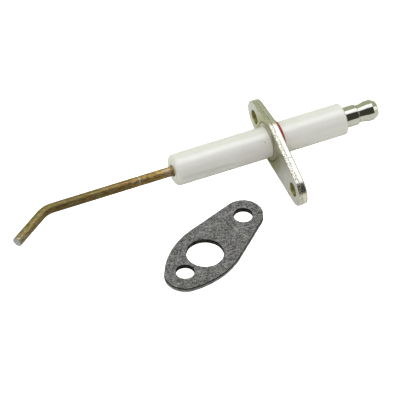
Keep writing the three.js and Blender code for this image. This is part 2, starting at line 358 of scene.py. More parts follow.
def add(tree, kind, inputs=None, **settings):
    """A node with its settings, and its inputs set to a value or linked from a socket."""
    node = tree.nodes.new("ShaderNode" + kind)
    for key, value in settings.items():
        setattr(node, key, value)
    for key, value in (inputs or {}).items():
        if isinstance(value, bpy.types.NodeSocket):
            tree.links.new(value, node.inputs[key])
        else:
            node.inputs[key].default_value = value
    return node


def new_material(name, **sockets):
    """A material whose Principled shader has these sockets set, and its node tree."""
    material = bpy.data.materials.new(name)
    material.use_nodes = True
    surface = material.node_tree.nodes["Principled BSDF"]
    for key, value in sockets.items():
        surface.inputs[key.replace("_", " ")].default_value = value
    return material, material.node_tree, surface


def place(tree):
    return add(tree, "TexCoord").outputs["Object"]


def coordinate(tree, vector, axis):
    """One coordinate, X, Y or Z, of a vector."""
    return add(tree, "SeparateXYZ", {"Vector": vector}).outputs[axis]


def mapped(tree, value, **ends):
    """A value mapped from the range low to high on to the range first to last."""
    names = {"low": "From Min", "high": "From Max", "first": "To Min", "last": "To Max"}
    inputs = {"Value": value} | {names[key]: end for key, end in ends.items()}
    return add(tree, "MapRange", inputs).outputs[0]


def product(tree, a, b):
    return math_node(tree, "MULTIPLY", a, b)


def scaled(tree, vector, scale):
    return add(tree, "Mapping", {"Vector": vector, "Scale": scale}).outputs["Vector"]


def noise_at(tree, vector, size_mm, detail=4.0, roughness=0.55, distortion=0.0):
    """Noise whose lumps are about size_mm across."""
    inputs = {
        "Vector": vector,
        "Scale": 1.0 / (size_mm * MM),
        "Detail": detail,
        "Roughness": roughness,
        "Distortion": distortion,
    }
    return add(tree, "TexNoise", inputs).outputs["Fac"]


def ramp(tree, value, stops):
    """A colour ramp of (position, colour) stops. A colour is one grey number or three."""
    node = add(tree, "ValToRGB", {"Fac": value})
    elements = node.color_ramp.elements
    while len(elements) < len(stops):
        elements.new(0.5)
    for element, (position, colour) in zip(elements, stops):
        element.position = position
        rgb = (colour,) * 3 if isinstance(colour, (int, float)) else colour
        element.color = (*rgb, 1.0)
    return node.outputs["Color"]


def mix(tree, factor, a, b, blend="MIX"):
    node = add(tree, "Mix", data_type="RGBA", blend_type=blend)
    for socket, value in zip((node.inputs[0], node.inputs[6], node.inputs[7]), (factor, a, b)):
        if isinstance(value, bpy.types.NodeSocket):
            tree.links.new(value, socket)
        elif isinstance(value, tuple):
            socket.default_value = (*value, 1.0)
        else:
            socket.default_value = value
    return node.outputs[2]


def math_node(tree, operation, a, b=0.0, c=0.0, clamp=False):
    return add(tree, "Math", {0: a, 1: b, 2: c}, operation=operation, use_clamp=clamp).outputs[0]


def band(tree, value, low, high, soft):
    """1 where value lies between low and high, fading to 0 over soft on each side."""
    rise = mapped(tree, value, low=low - soft, high=low)
    fall = mapped(tree, value, low=high + soft, high=high)
    return product(tree, rise, fall)


def spot(tree, at, centre, radius):
    """1 near a point, fading to 0 at the radius."""
    gap = add(tree, "VectorMath", {0: at, 1: centre}, operation="DISTANCE").outputs["Value"]
    return mapped(tree, gap, low=radius, high=0.5 * radius)


def facing_up(tree, low, high):
    """0 where the surface's upward lean is below low, and 1 above high."""
    lean = coordinate(tree, add(tree, "NewGeometry").outputs["Normal"], "Z")
    return mapped(tree, lean, low=low, high=high)


def bump(tree, height, distance_mm, strength=1.0, normal=None):
    inputs = {"Height": height, "Distance": distance_mm * MM, "Strength": strength}
    if normal:
        inputs["Normal"] = normal
    return add(tree, "Bump", inputs).outputs["Normal"]


def link(tree, output, surface, socket):
    tree.links.new(output, surface.inputs[socket])


# ---------------------------------------------------------------- materials

def rod_material():
    """Heat-tinted wire: gold, olive and orange oxide, scraped at the tip and bare steel at the rear, with
    painted shade darkening its downward-facing side.
    """
    material, tree, surface = new_material("heat_tinted_rod", Metallic=0.8)
    at = place(tree)
    along = coordinate(tree, at, "X")
    share = mapped(tree, along, low=TINT_START_X, high=NOSE_X)
    drawn = scaled(tree, at, (0.12, 1.0, 1.0))
    blotch = noise_at(tree, drawn, 1.1, detail=5, roughness=0.6, distortion=0.4)
    wander = math_node(tree, "MULTIPLY_ADD", blotch, 0.16, -0.08)
    tint = ramp(
        tree,
        math_node(tree, "ADD", share, wander),
        [
            (0.00, (0.38, 0.32, 0.14)),
            (0.14, (0.38, 0.29, 0.08)),
            (0.27, (0.29, 0.23, 0.07)),
            (0.36, (0.21, 0.16, 0.05)),
            (0.50, (0.29, 0.225, 0.065)),
            (0.70, (0.42, 0.29, 0.09)),
            (0.86, (0.66, 0.42, 0.14)),
            (1.00, (0.74, 0.51, 0.21)),
        ],
    )
    fine = noise_at(tree, scaled(tree, at, (0.3, 1.0, 1.0)), 0.36, detail=4)
    away = mapped(tree, share, low=0.95, high=0.7, first=0.3)
    green = ramp(tree, noise_at(tree, drawn, 0.8, detail=3), [(0.46, 0.0), (0.58, 0.6)])
    tint = mix(tree, product(tree, green, away), tint, (0.24, 0.26, 0.075))
    patches = noise_at(tree, scaled(tree, at, (0.35, 1.0, 1.0)), 1.0, detail=4)
    tint = mix(tree, ramp(tree, patches, [(0.51, 0.0), (0.60, 0.5)]), tint, (0.42, 0.19, 0.07))
    brown = ramp(tree, fine, [(0.42, 0.85), (0.52, 0.0)])
    tint = mix(tree, brown, tint, (0.19, 0.115, 0.05))
    pale = band(tree, along, *PALE_X, 0.5 * MM)
    tint = mix(tree, product(tree, pale, 0.45), tint, (0.66, 0.55, 0.52))
    lines = noise_at(tree, scaled(tree, at, (0.05, 1.0, 1.0)), 0.2, detail=3)
    scratches = ramp(tree, lines, [(0.60, 0.0), (0.66, 0.75)])
    tint = mix(tree, scratches, tint, (0.62, 0.52, 0.50))
    rear = mapped(tree, along, low=BARE_X[0], high=BARE_X[1])
    tint = mix(tree, rear, tint, (0.58, 0.56, 0.52))
    bright = SCORE_HALF_WIDTH / 2
    score = band(tree, along, SCORE_X - bright, SCORE_X + bright, 0.10 * MM)
    tint = mix(tree, product(tree, score, 0.75), tint, (0.66, 0.60, 0.58))
    tip = band(tree, along, *SCRAPED_X, 3 * MM)
    scraped = ramp(tree, fine, [(0.55, 0.0), (0.64, 0.8)])
    tint = mix(tree, product(tree, tip, scraped), tint, (0.62, 0.60, 0.56))
    # Painted shade: the rod's downward-facing side is multiplied darker and browner.
    tint = mix(tree, facing_up(tree, 0.70, 0.05), tint, (0.46, 0.41, 0.27), blend="MULTIPLY")
    link(tree, tint, surface, "Base Color")
    link(tree, mapped(tree, fine, first=0.36, last=0.56), surface, "Roughness")
    normal = bump(tree, lines, 0.025, 0.6)
    link(tree, bump(tree, fine, 0.04, 0.6, normal), surface, "Normal")
    return material


def cut_steel_material():
    """The rod's sawn end: pale bluish steel with saw lines."""
    material, tree, surface = new_material("cut_steel", Metallic=0.9)
    at = place(tree)
    saw = noise_at(tree, scaled(tree, at, (1.0, 0.15, 1.0)), 0.25, detail=3)
    tint = ramp(tree, saw, [(0.35, (0.30, 0.31, 0.33)), (0.65, (0.62, 0.63, 0.66))])
    link(tree, tint, surface, "Base Color")
    surface.inputs["Roughness"].default_value = 0.5
    link(tree, bump(tree, saw, 0.04, 0.7), surface, "Normal")
    return material


def ceramic_material():
    """Dense white alumina: faintly translucent, a low sheen, and a few dark specks."""
    material, tree, surface = new_material(
        "white_ceramic",
        Subsurface_Weight=0.12,
        Subsurface_Radius=(1.0, 0.9, 0.75),
        Subsurface_Scale=0.8 * MM,
        IOR=1.65,
        Coat_Weight=1.0,
        Coat_Roughness=0.10,
    )
    at = place(tree)
    cloud = noise_at(tree, at, 7.0, detail=3)
    tint = ramp(tree, cloud, [(0.3, (0.85, 0.83, 0.80)), (0.7, (0.89, 0.87, 0.85))])
    grain = noise_at(tree, at, 0.25, detail=2)
    specks = add(tree, "TexVoronoi", {"Vector": at, "Scale": 190.0}, feature="F1")
    near = ramp(tree, specks.outputs["Distance"], [(0.018, 1.0), (0.034, 0.0)])
    chance = add(tree, "SeparateColor", {"Color": specks.outputs["Color"]}).outputs[0]
    few = math_node(tree, "GREATER_THAN", chance, 0.72)
    tint = mix(tree, product(tree, near, few), tint, (0.20, 0.19, 0.17))
    for x, y, z, size in CERAMIC_MARKS:
        tint = mix(tree, spot(tree, at, (x, y, z), size), tint, (0.12, 0.12, 0.11))
    link(tree, tint, surface, "Base Color")
    link(tree, mapped(tree, cloud, first=0.14, last=0.26), surface, "Roughness")
    normal = bump(tree, grain, 0.008, 0.5)
    link(tree, bump(tree, cloud, 0.08, 0.5, normal), surface, "Normal")
    return material


def cement_material():
    """Chalky fixing cement, grainy and slightly yellowed."""
    material, tree, surface = new_material("fixing_cement", Roughness=0.95)
    at = place(tree)
    grain = noise_at(tree, at, 0.4, detail=6, roughness=0.7)
    tint = ramp(tree, grain, [(0.3, (0.42, 0.39, 0.32)), (0.7, (0.70, 0.67, 0.58))])
    link(tree, tint, surface, "Base Color")
    link(tree, bump(tree, grain, 0.12, 0.9), surface, "Normal")
    return material


def satin(tree, at, surface, mottle, low, high, mottle_mm, fine_mm):
    """Gives a metal its roughness from low to high, and its relief, from mottling and fine scratches."""
    fine = noise_at(tree, scaled(tree, at, (1.0, 0.2, 1.0)), 0.2, detail=3)
    wear = math_node(tree, "ADD", product(tree, mottle, 0.5), product(tree, fine, 0.5))
    link(tree, mapped(tree, wear, first=low, last=high), surface, "Roughness")
    normal = bump(tree, mottle, mottle_mm, 0.6)
    link(tree, bump(tree, fine, fine_mm, 0.6, normal), surface, "Normal")


def plated_material(name, tint, low, high, mottle_mm=1.2, depth_mm=0.015):
    """Zinc-plated sheet steel: a faintly mottled satin metal with fine scratches."""
    material, tree, surface = new_material(name, Metallic=1.0)
    at = place(tree)
    mottle = noise_at(tree, at, mottle_mm, detail=5, roughness=0.6)
    dark = tuple(0.84 * c for c in tint)
    link(tree, ramp(tree, mottle, [(0.30, dark), (0.65, tint)]), surface, "Base Color")
    satin(tree, at, surface, mottle, low, high, depth_mm, 0.006)
    return material


def flange_face_material():
    """The flange's faces: satin zinc with a grey cast, and a painted olive reflection darkening them round
    the bore.
    """
    material, tree, surface = new_material("flange_face", Metallic=1.0)
    at = place(tree)
    mottle = noise_at(tree, at, 1.3, detail=5, roughness=0.6)
    tint = ramp(tree, mottle, [(0.32, (0.52, 0.505, 0.47)), (0.66, (0.65, 0.63, 0.605))])
    # Painted reflection of the ceramic's shaded underside: darker olive colour round the bore.
    across = add(tree, "Mapping", {"Vector": at, "Scale": (0.0, 1.0, 1.0)}).outputs["Vector"]
    reach = add(tree, "VectorMath", {0: across}, operation="LENGTH").outputs["Value"]
    wander = math_node(tree, "MULTIPLY_ADD", noise_at(tree, at, 3.0), 2.4 * MM, reach)
    painted_reflection = mapped(tree, wander, low=PAINTED_REFLECTION_R[0], high=PAINTED_REFLECTION_R[1])
    tint = mix(tree, product(tree, painted_reflection, 0.95), tint, (0.36, 0.355, 0.17))
    link(tree, tint, surface, "Base Color")
    satin(tree, at, surface, mottle, 0.10, 0.26, 0.012, 0.005)
    return material


def hole_wall_material():
    """The walls of the screw holes: drilled steel under a yellow-olive passivation."""
    material, tree, surface = new_material("hole_wall", Metallic=0.85)
    at = place(tree)
    rings = noise_at(tree, scaled(tree, at, (1.0, 0.25, 0.25)), 0.3, detail=4)
    tint = ramp(tree, rings, [(0.32, (0.30, 0.28, 0.08)), (0.68, (0.50, 0.47, 0.20))])
    link(tree, tint, surface, "Base Color")
    link(tree, mapped(tree, rings, first=0.32, last=0.5), surface, "Roughness")
    link(tree, bump(tree, rings, 0.03, 0.6), surface, "Normal")
    return material


def sheared_edge_material():
    """The flange's blanked edge: bright, with torn specks, a shear line and a dark burr at the back."""
    material, tree, surface = new_material("sheared_edge", Metallic=1.0)
    at = place(tree)
    thick = FLANGE_THICKNESS
    depth = coordinate(tree, at, "X")
    along = coordinate(tree, at, "Y")
    streaks = noise_at(tree, scaled(tree, at, (1.0, 0.25, 0.25)), 0.35, detail=4)
    tint = ramp(tree, streaks, [(0.3, (0.66, 0.63, 0.55)), (0.7, (0.80, 0.76, 0.69))])
    torn = noise_at(tree, at, 0.42, detail=4, roughness=0.7)
    middle = band(tree, depth, 0.10 * thick, 0.42 * thick, 0.10 * thick)
    specks = product(tree, ramp(tree, torn, [(0.54, 0.0), (0.60, 1.0)]), middle)
    ragged = math_node(tree, "MULTIPLY_ADD", torn, 0.5 * MM, math_node(tree, "ADD", depth, -0.25 * MM))
    shear = band(tree, ragged, 0.40 * thick, 0.42 * thick, 0.05 * thick)
    broken = ramp(tree, noise_at(tree, at, 1.6, detail=3), [(0.42, 0.0), (0.52, 1.0)])
    step_line = band(tree, along, STEP_LINE_Y, STEP_LINE_Y + 0.10 * MM, 0.08 * MM)
    marks = math_node(tree, "MULTIPLY_ADD", shear, product(tree, broken, 0.7), specks, clamp=True)
    marks = math_node(tree, "MAXIMUM", marks, product(tree, step_line, 0.6))
    burr = band(tree, depth, 0.93 * thick, thick, 0.04 * thick)
    marks = math_node(tree, "MAXIMUM", marks, product(tree, burr, 0.95))
    link(tree, mix(tree, product(tree, marks, 0.8), tint, (0.16, 0.15, 0.12)), surface, "Base Color")
    link(tree, mapped(tree, torn, first=0.14, last=0.34), surface, "Roughness")
    normal = bump(tree, streaks, 0.02, 0.5)
    link(tree, bump(tree, marks, -0.06, 0.7, normal), surface, "Normal")
    return material


def silicone_material():
    """Dark red silicone rubber with a dull skin."""
    material, tree, surface = new_material("red_silicone", Subsurface_Weight=0.1, Subsurface_Scale=0.5 * MM)
    at = place(tree)
    cloud = noise_at(tree, at, 0.8, detail=4)
    tint = ramp(tree, cloud, [(0.3, (0.38, 0.020, 0.014)), (0.7, (0.52, 0.035, 0.022))])
    link(tree, tint, surface, "Base Color")
    link(tree, mapped(tree, cloud, first=0.4, last=0.6), surface, "Roughness")
    link(tree, bump(tree, cloud, 0.03, 0.6), surface, "Normal")
    return material


def nickel_material():
    """Polished nickel plate over turned brass: a mirror with faint turning rings and smears."""
    material, tree, surface = new_material("polished_nickel", Metallic=1.0)
    at = place(tree)
    smear = noise_at(tree, scaled(tree, at, (0.5, 1.0, 1.0)), 2.2, detail=4)
    tint = ramp(tree, smear, [(0.3, (0.60, 0.59, 0.53)), (0.7, (0.67, 0.66, 0.61))])
    link(tree, tint, surface, "Base Color")
    link(tree, mapped(tree, smear, first=0.04, last=0.13), surface, "Roughness")
    rings = noise_at(tree, scaled(tree, at, (1.0, 0.02, 0.02)), 0.12, detail=2)
    normal = bump(tree, rings, 0.002, 0.5)
    link(tree, bump(tree, smear, 0.03, 0.4, normal), surface, "Normal")
    return material


def fibre_material():
    """Pressed fibre sheet: grey binder with pale tangled fibres, dark pits and a faint warm cast."""
    material, tree, surface = new_material("fibre_sheet", Specular_IOR_Level=0.25)
    at = place(tree)
    cloud = noise_at(tree, at, 3.0, detail=4, roughness=0.6)
    base = ramp(tree, cloud, [(0.36, (0.085, 0.082, 0.085)), (0.64, (0.20, 0.192, 0.20))])
    warm = noise_at(tree, at, 6.0, detail=2)
    base = mix(tree, ramp(tree, warm, [(0.50, 0.0), (0.66, 0.5)]), base, (0.16, 0.155, 0.12))
    cool = ramp(tree, warm, [(0.34, 0.45), (0.46, 0.0)])
    base = mix(tree, cool, base, (0.19, 0.165, 0.18))
    grain = noise_at(tree, at, 0.42, detail=5, roughness=0.7)
    threads = None
    for turn, size in ((0.5, 0.75), (2.1, 0.6), (3.6, 0.8)):
        way = {"Vector": at, "Rotation": (0.0, 0.0, turn), "Scale": (0.25, 1.0, 1.0)}
        turned_at = add(tree, "Mapping", way).outputs["Vector"]
        strand = noise_at(tree, turned_at, size, detail=3, distortion=1.6)
        strand = ramp(tree, strand, [(0.57, 0.0), (0.63, 1.0)])
        threads = strand if threads is None else math_node(tree, "MAXIMUM", threads, strand)
    base = mix(tree, product(tree, threads, 0.6), base, (0.44, 0.43, 0.44))
    pits = ramp(tree, grain, [(0.40, 1.0), (0.49, 0.0)])
    base = mix(tree, product(tree, pits, 0.85), base, (0.035, 0.035, 0.034))
    bright = ramp(tree, grain, [(0.53, 0.0), (0.62, 0.7)])
    base = mix(tree, bright, base, (0.44, 0.43, 0.44))
    for x, y, size in GASKET_MARKS:
        mark = spot(tree, at, (x, y, GASKET_TOP), size)
        base = mix(tree, product(tree, mark, 0.9), base, (0.015, 0.015, 0.015))
    link(tree, base, surface, "Base Color")
    link(tree, mapped(tree, grain, first=0.6, last=0.9), surface, "Roughness")
    height = math_node(tree, "MULTIPLY_ADD", threads, 0.35, grain)
    link(tree, bump(tree, height, 0.14, 0.9), surface, "Normal")
    return material


def outer_edge_material():
    """The gasket's outer edge: darker along its top and its bottom, with paler torn fibre between."""
    material, tree, surface = new_material("fibre_outer_edge", Roughness=0.95, Specular_IOR_Level=0.1)
    at = place(tree)
    layers = noise_at(tree, scaled(tree, at, (0.35, 0.35, 1.6)), 0.5, detail=5, roughness=0.65)
    height = math_node(tree, "ADD", coordinate(tree, at, "Z"), -0.15 * MM)
    wander = math_node(tree, "MULTIPLY_ADD", layers, 0.3 * MM, height)
    # The edge is darker along its top and bottom and paler between.
    middle = band(tree, wander, FLOOR_Z + 0.28 * MM, GASKET_TOP - 0.55 * MM, 0.12 * MM)
    pale = ramp(tree, layers, [(0.35, 0.14), (0.65, 0.46)])
    link(tree, mix(tree, middle, (0.010, 0.010, 0.010), pale), surface, "Base Color")
    link(tree, bump(tree, layers, 0.08, 0.8), surface, "Normal")
    return material


def painted_shade_hole_wall_material():
    """The walls of the gasket's punched holes: painted shade, nearly black, with a grey streak."""
    material, tree, surface = new_material("fibre_hole_wall_painted_shade", Roughness=0.8, Specular_IOR_Level=0.1)
    layers = noise_at(tree, scaled(tree, place(tree), (0.3, 0.3, 1.8)), 0.6, detail=4)
    # Painted shade: the hole walls are coloured nearly black.
    link(tree, ramp(tree, layers, [(0.54, 0.004), (0.66, 0.11)]), surface, "Base Color")
    link(tree, bump(tree, layers, 0.06, 0.8), surface, "Normal")
    return material


def floor_material():
    """A plain white table top, lit from within where it is looked at directly."""
    material, tree, surface = new_material(
        "pale_floor", Base_Color=(0.90, 0.90, 0.87, 1.0), Roughness=0.9, Specular_IOR_Level=0.1
    )
    surface.inputs["Emission Color"].default_value = (1.0, 1.0, 1.0, 1.0)
    link(tree, add(tree, "LightPath").outputs["Is Camera Ray"], surface, "Emission Strength")
    return material


# ---------------------------------------------------------------- pieces

def flame_rod(tinted, cut):
    """The bent rod: a finely stepped tube with a sawn tip, a score ring and a cut thread."""
    sides = 64
    tangent = BEND_R * math.tan(BEND_ANGLE / 2)
    bend_start = BEND_VERTEX_X + tangent
    bend_end = bend_start - BEND_R * BEND_ANGLE
    tip = bend_end - (TIP_PAST_VERTEX - tangent)
    thread_start, rod_end = THREAD_X

    def radius_at(along, angle):
        if along > thread_start:
            phase = (along / THREAD_PITCH - angle / TURN) % 1.0
            depth = THREAD_DEPTH * min(1.0, max(0.0, 2.6 * abs(phase - 0.5) - 0.15))
            fade = min(1.0, (rod_end - along) / (0.5 * MM))
            return (THREAD_R - depth) - 0.35 * MM * (1 - fade)
        radius = ROD_R
        aside = abs(along - SCORE_X) / SCORE_HALF_WIDTH
        if aside < 1:
            radius -= SCORE_DEPTH * (1 - aside**2)
        if along - tip < TIP_EDGE:
            reach = 1 - (along - tip) / TIP_EDGE
            radius -= TIP_EDGE * (1 - math.sqrt(max(0.0, 1 - reach**2)))
        return radius

    stations = [tip + TIP_EDGE * k / 4 for k in range(5)]
    stations += stations_between(tip + TIP_EDGE, SCORE_X - SCORE_HALF_WIDTH, 0.5 * MM)
    stations += stations_between(SCORE_X - SCORE_HALF_WIDTH, SCORE_X + SCORE_HALF_WIDTH, 0.07 * MM)
    stations += stations_between(SCORE_X + SCORE_HALF_WIDTH, thread_start, 0.5 * MM)
    stations += stations_between(thread_start, rod_end, THREAD_PITCH / 10)

    bend_way = Vector((0, -math.cos(FLANGE_DIP), -math.sin(FLANGE_DIP)))
    side_way = Vector((0, math.sin(FLANGE_DIP), -math.cos(FLANGE_DIP)))

    def bent(along, aside, across):
        if along < bend_start:
            angle = min((bend_start - along) / BEND_R, BEND_ANGLE)
            past = max(bend_end - along, 0)
            reach = BEND_R - aside
            along = bend_start - reach * math.sin(angle) - past * math.cos(angle)
            aside = BEND_R - reach * math.cos(angle) + past * math.sin(angle)
        return Vector((along, 0, 0)) + bend_way * aside + side_way * across

    verts, faces, rings = [], [], []
    caps = [(tip, 0.0), (tip, 0.5 * ROD_R)]
    for along, radius in caps:
        rings.append(add_ring(verts, along, lambda angle: radius, sides, bent))
    for along in stations:
        rings.append(add_ring(verts, along, lambda angle: radius_at(along, angle), sides, bent))
    end_r = THREAD_R - THREAD_DEPTH - 0.35 * MM
    rings.append(add_ring(verts, rod_end, lambda angle: 0.5 * end_r, sides, bent))
    rings.append(add_ring(verts, rod_end, lambda angle: 0.0, sides, bent))
    for a, b in zip(rings, rings[1:]):
        for k in range(sides):
            face = list(dict.fromkeys([a[k], a[(k + 1) % sides], b[(k + 1) % sides], b[k]]))
            if len(face) > 2:
                faces.append(face)

    end_way = (bent(tip, 0, 0) - bent(tip + MM, 0, 0)).normalized()
    rear_way = Vector((1, 0, 0))

    def choose(normal, centre):
        sawn = normal.dot(end_way) > 0.9 and centre.x < BEND_VERTEX_X
        return 1 if sawn or (normal.dot(rear_way) > 0.9 and centre.x > thread_start) else 0

    return finish_piece(
        "flame_rod_piece", clamped(verts, "flame_rod"), faces, [tinted, cut], "probe", "flame_rod",
        choose=choose,
    )


def stations_between(start, end, step):
    """Evenly spaced places from start to end, with start itself left out."""
    count = max(1, math.ceil((end - start) / step))
    return [start + (end - start) * (k + 1) / count for k in range(count)]


def add_ring(verts, along, radius_of, sides, bent):
    """Adds a ring of vertices round the rod and gives their numbers: all one number on the axis."""
    if radius_of(0.0) < 1e-9:
        verts.append(bent(along, 0, 0))
        return [len(verts) - 1] * sides
    first = len(verts)
    for k in range(sides):
        angle = TURN * k / sides
        radius = radius_of(angle)
        verts.append(bent(along, radius * math.cos(angle), radius * math.sin(angle)))
    return range(first, first + sides)


def insulator(material):
    """The ceramic tube, with a full round at its nose and a softer one at its rear."""
    pocket_x = REAR_X - POCKET_DEPTH
    corners = [
        (CERAMIC_BORE_R, NOSE_X, 0.25 * MM),
        (CERAMIC_R, NOSE_X, NOSE_ROUND),
        (CERAMIC_R, GROOVE_X[0], 0.08 * MM),
        (GROOVE_R, GROOVE_X[0], 0.05 * MM),
        (GROOVE_R, GROOVE_X[1], 0.05 * MM),
        (CERAMIC_R, GROOVE_X[1], 0.08 * MM),
        (CERAMIC_R, REAR_X, REAR_ROUND),
        (POCKET_R, REAR_X, 0.15 * MM),
        (POCKET_R, pocket_x, 0.0),
        (CERAMIC_BORE_R, pocket_x - (POCKET_R - CERAMIC_BORE_R), 0.0),
    ]
    profile = refined(rounded(corners, closed=True, steps=10), 0.8 * MM, closed=True)
    verts, faces = revolved(profile, 128, True, waver=0.02 * MM, waver_size=5 * MM)
    verts = clamped(verts, "insulator")
    return finish_piece("insulator_piece", verts, faces, [material], "probe", "insulator")


def cement_ring(name, material):
    """A ring of set cement, uneven on its ends."""
    low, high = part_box(name)
    inner_r, outer_r = ROD_R + 0.06 * MM, high.z
    corners = [
        (inner_r, low.x, 0.0),
        (outer_r, low.x, 0.0),
        (outer_r, high.x, 0.0),
        (inner_r, high.x, 0.0),
    ]
    verts, faces = revolved(refined(rounded(corners, closed=True), 0.3 * MM, closed=True), 64, True)
    for v in verts:
        lump = noise.noise(v / (0.5 * MM)) - 1
        v.x += 0.12 * MM * lump if v.x > high.x - 0.05 * MM else 0
        v.x -= 0.12 * MM * lump if v.x < low.x + 0.05 * MM else 0
    return finish_piece(name + "_piece", clamped(verts, name), faces, [material], "probe", name)


def flange_plate(face, edge, hole_wall):
    """The blanked teardrop plate: rolled front edge, sharper back edge, eased holes and a turned recess."""
    step = 0.45 * MM
    thick = FLANGE_THICKNESS
    outer = [
        (0.24 * MM, 0.0),
        (0.13 * MM, 0.02 * MM),
        (0.05 * MM, 0.07 * MM),
        (0.01 * MM, 0.16 * MM),
        (0.0, 0.28 * MM),
        (0.0, 0.35 * thick),
        (0.0, 0.65 * thick),
        (0.02 * MM, thick - 0.16 * MM),
        (0.06 * MM, thick - 0.05 * MM),
        (0.13 * MM, thick),
    ]
    screw = [
        (0.10 * MM, 0.0),
        (0.03 * MM, 0.03 * MM),
        (0.0, 0.10 * MM),
        (0.0, thick - 0.1 * MM),
        (0.1 * MM, thick),
    ]
    lip = RECESS_R - FLANGE_BORE_R
    bore = [
        (lip + 0.14 * MM, 0.0),
        (lip + 0.04 * MM, 0.04 * MM),
        (lip, 0.14 * MM),
        (lip, RECESS_DEPTH),
        (0.12 * MM, RECESS_DEPTH),
        (0.0, RECESS_DEPTH + 0.12 * MM),
        (0.0, thick - 0.15 * MM),
        (0.15 * MM, thick),
    ]
    loops = [
        (teardrop(FLANGE_CENTRE_R, FLANGE_LOBE_R, FLANGE_LOBE_R, step), outer),
        (round_hole(0, 0, FLANGE_BORE_R, step), bore),
        (round_hole(-SHORT_LOBE, 0, SCREW_HOLE_R, step), screw),
        (round_hole(LONG_LOBE, 0, SCREW_HOLE_R, step), screw),
    ]
    flat_verts, faces = plate(loops, 0.9 * MM)
    long_way = Vector((0, -math.cos(FLANGE_DIP), -math.sin(FLANGE_DIP)))
    side_way = Vector((0, math.sin(FLANGE_DIP), -math.cos(FLANGE_DIP)))
    through = Vector((1, 0, 0))
    verts = []
    for v in flat_verts:
        place_now = long_way * v.x + side_way * v.y + through * v.z
        torn = 0.45 < v.z / thick < 0.9 and v.xy.length > FLANGE_BORE_R + MM
        tear = 0.03 * MM if torn else 0.004 * MM
        verts.append(place_now + noise.noise_vector(place_now / (0.5 * MM)) * tear)

    hole_centres = [long_way * LONG_LOBE, long_way * -SHORT_LOBE]

    def choose(normal, centre):
        if abs(normal.x) > 0.5 or centre.yz.length < RECESS_R + 0.3 * MM:
            return 0
        across = Vector((0, *centre.yz))
        return 2 if min((across - hole).length for hole in hole_centres) < SCREW_HOLE_R + 0.1 * MM else 1

    return finish_piece(
        "flange_plate_piece", clamped(verts, "flange_plate"), faces, [face, edge, hole_wall], "probe",
        "flange_plate", shade_angle=40, choose=choose,
    )


def clamp_ring(material):
    """The ring pressed round the insulator, with a hammered face."""
    low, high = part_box("clamp_ring")
    inner_r, outer_r = 4.85 * MM, high.z
    corners = [
        (inner_r, low.x, 0.08 * MM),
        (outer_r, low.x, 0.2 * MM),
        (outer_r, high.x, 0.1 * MM),
        (inner_r, high.x, 0.08 * MM),
    ]
    profile = refined(rounded(corners, closed=True, steps=4), 0.15 * MM, closed=True)
    verts, faces = revolved(profile, 160, True)
    for v in verts:
        v.x += 0.05 * MM * noise.noise(v / (0.6 * MM))
    verts = clamped(verts, "clamp_ring")
    return finish_piece("clamp_ring_piece", verts, faces, [material], "probe", "clamp_ring")


def seal_ring(material):
    """The silicone ring behind the flange, full and round at its rear."""
    low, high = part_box("seal_ring")
    inner_r, outer_r = 5.08 * MM, high.z
    corners = [
        (inner_r, low.x, 0.05 * MM),
        (outer_r, low.x, 0.12 * MM),
        (outer_r, high.x, 0.45 * MM),
        (inner_r, high.x, 0.2 * MM),
    ]
    profile = refined(rounded(corners, closed=True, steps=6), 0.2 * MM, closed=True)
    verts, faces = revolved(profile, 128, True)
    for v in verts:
        v.x += 0.03 * MM * (noise.noise(v / (1.5 * MM)) - 1) if v.x > low.x + 0.5 * MM else 0
    verts = clamped(verts, "seal_ring")
    return finish_piece("seal_ring_piece", verts, faces, [material], "probe", "seal_ring")


def terminal_washer(material):
    """A thin pressed washer with eased edges."""
    low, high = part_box("terminal_washer")
    inner_r, outer_r = 1.75 * MM, high.z
    corners = [
        (inner_r, low.x, 0.04 * MM),
        (outer_r, low.x, 0.12 * MM),
        (outer_r, high.x, 0.06 * MM),
        (inner_r, high.x, 0.04 * MM),
    ]
    profile = refined(rounded(corners, closed=True, steps=4), 0.3 * MM, closed=True)
    verts, faces = revolved(profile, 96, True)
    verts = clamped(verts, "terminal_washer")
    return finish_piece(
        "terminal_washer_piece", verts, faces, [material], "washer", "terminal_washer"
    )


def terminal_nut(material):
    """The turned terminal: a plain base, an undercut, a waist, and the snap bulb with its coned nose."""
    low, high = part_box("terminal_nut")
    face_x, end_x, base_r = low.x, high.x, high.z
    snap_x = 33.3 * MM
    neck_x = 30.5 * MM
    neck_r = 2.78 * MM
    steps = 14
    swell = []
    for k in range(steps + 1):
        rise = (base_r - neck_r) * (1 - math.cos(math.pi * k / steps)) / 2
        swell.append((neck_r + rise, neck_x + (snap_x - neck_x) * k / steps, 0.0))
    bore_r, bore_end = 1.53 * MM, 33.4 * MM
    corners = [
        (0.0, bore_end, 0.0),
        (bore_r, bore_end - 0.8 * MM, 0.0),
        (bore_r, face_x, 0.3 * MM),
        (base_r, face_x, 0.2 * MM),
        (base_r, 29.4 * MM, 0.06 * MM),
        (2.62 * MM, 29.5 * MM, 0.06 * MM),
        (2.62 * MM, 29.72 * MM, 0.06 * MM),
        (neck_r, 29.85 * MM, 0.0),
        *swell,
        (base_r, 34.5 * MM, 0.1 * MM),
        (2.60 * MM, 35.8 * MM, 0.15 * MM),
        (2.30 * MM, end_x, 0.1 * MM),
        (0.0, end_x, 0.0),
    ]
    profile = refined(rounded(corners, steps=6), 0.25 * MM)
    verts, faces = revolved(profile, 128, False)
    verts = clamped(verts, "terminal_nut")
    return finish_piece(
        "terminal_nut_piece", verts, faces, [material], "terminal", "terminal_nut", shade_angle=40
    )


